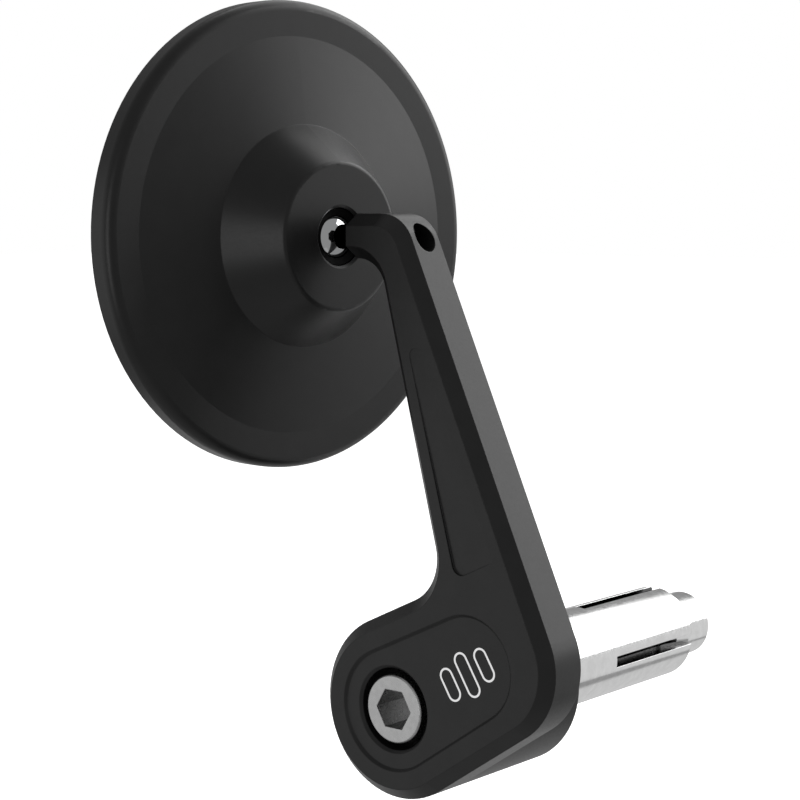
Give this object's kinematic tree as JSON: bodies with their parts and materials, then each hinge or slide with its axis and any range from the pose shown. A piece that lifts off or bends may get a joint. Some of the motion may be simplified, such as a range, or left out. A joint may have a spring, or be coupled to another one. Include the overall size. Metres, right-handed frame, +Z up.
{
  "type": "bar-end mirror",
  "caption": "Round convex mirror on a ball joint, carried by a chamfered flat arm that an expanding sleeve clamps to the open end of a handlebar.",
  "frame": {"origin": "on the clamp bolt's axis, in the plane where the end of the handlebar butts against the collar", "axes": "+Y into the handlebar, +X forwards, +Z up; the mirror glass faces rearwards, towards -X"},
  "size_m": [0.0662, 0.1247, 0.1329],
  "materials": {
    "black_anodised": "fine-blasted black anodising",
    "black_shell": "satin black anodising",
    "bright_aluminium": "bright turned",
    "bolt_steel": "zinc plated",
    "ball_chrome": "polished",
    "mirror_glass": "silvered glass",
    "seal_rubber": "matt",
    "pad_foam": "adhesive foam",
    "seat_nylon": "moulded nylon",
    "spring_steel": "oiled",
    "retainer_steel": "zinc plated"
  },
  "bodies": {
    "bar_plug": {"bar_sleeve": "bright_aluminium"},
    "arm": {"arm": "black_anodised", "bolt_washer": "bolt_steel", "ball_stud": "ball_chrome"},
    "bolt": {"clamp_bolt": "bolt_steel"},
    "wedge": {"wedge_nut": "bright_aluminium"},
    "rear_seat": {"rear_ball_seat": "seat_nylon"},
    "front_seat": {"front_ball_seat": "seat_nylon"},
    "head": {"head_shell": "black_shell", "mirror_glass": "mirror_glass", "glass_seal": "seal_rubber", "glass_pad": "pad_foam", "pressure_cup": "seat_nylon", "disc_spring": "spring_steel", "retainer_plate": "retainer_steel", "retainer_screws": "bolt_steel"}
  },
  "joints": [
    {"name": "arm_swing", "type": "hinge", "parent": "bar_plug", "child": "arm", "pos_m": [0, 0, 0], "axis": [0, 1, 0], "continuous": true},
    {"name": "bolt_turn", "type": "hinge", "parent": "bar_plug", "child": "bolt", "pos_m": [0, 0, 0], "axis": [0, 1, 0], "range_deg": [-720, 540]},
    {"name": "wedge_draw", "type": "slide", "parent": "bar_plug", "child": "wedge", "axis": [0, -1, 0], "range_m": [-0.0026, 0.0019]},
    {"name": "head_pan", "type": "hinge", "parent": "arm", "child": "rear_seat", "pos_m": [-0.01975, -0.02697, 0.0777], "axis": [0, 0, 1], "range_deg": [-10.8, 23.1]},
    {"name": "head_tilt", "type": "hinge", "parent": "rear_seat", "child": "front_seat", "pos_m": [-0.01975, -0.02697, 0.0777], "axis": [0, 1, 0], "range_deg": [-17, 17]},
    {"name": "head_spin", "type": "hinge", "parent": "front_seat", "child": "head", "pos_m": [-0.01975, -0.02697, 0.0777], "axis": [0.9942, -0.1077, 0], "continuous": true}
  ],
  "couplings": [
    {"joint": "wedge_draw", "follows": "bolt_turn", "m_per_rad": 0.00019894}
  ]
}
